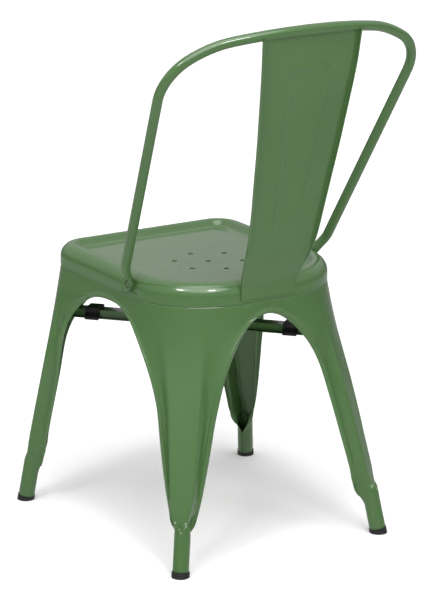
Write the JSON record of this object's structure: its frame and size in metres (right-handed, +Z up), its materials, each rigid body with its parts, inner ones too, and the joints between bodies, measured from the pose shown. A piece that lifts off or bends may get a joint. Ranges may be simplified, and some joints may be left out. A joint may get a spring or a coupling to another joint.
{
  "type": "stacking chair",
  "caption": "Stacking side chair of pressed sheet steel: dished seat, fluted splayed legs with arched skirts, bent tube back hoop and a folded splat.",
  "frame": {"origin": "on the floor, at the middle of the outline in X and Y", "axes": "+Z up; the sitter faces -Y; the sitter's left is +X"},
  "size_m": [0.4638, 0.5368, 0.8514],
  "materials": {
    "seat_paint": "gloss powder coat",
    "leg_paint": "gloss powder coat",
    "hoop_paint": "gloss powder coat",
    "splat_paint": "gloss powder coat",
    "brace_paint": "gloss powder coat",
    "bolt_paint": "gloss powder coat",
    "zinc_hardware": "zinc plated",
    "bumper_plastic": "matt moulded",
    "glide_plastic": "matt moulded"
  },
  "bodies": {
    "root": {"back_hoop": "hoop_paint", "back_splat": "splat_paint", "brace_half_front": "brace_paint", "brace_half_rear": "brace_paint", "brace_through": "brace_paint", "foot_glide_front_left": "glide_plastic", "foot_glide_front_right": "glide_plastic", "foot_glide_rear_left": "glide_plastic", "foot_glide_rear_right": "glide_plastic", "hoop_bolts": "bolt_paint", "hoop_nuts": "zinc_hardware", "hoop_washers": "zinc_hardware", "leg_front_left": "leg_paint", "leg_front_right": "leg_paint", "leg_rear_left": "leg_paint", "leg_rear_right": "leg_paint", "seat_pan": "seat_paint", "stacking_bumper_front_left": "bumper_plastic", "stacking_bumper_front_right": "bumper_plastic", "stacking_bumper_rear_left": "bumper_plastic", "stacking_bumper_rear_right": "bumper_plastic"}
  },
  "joints": []
}
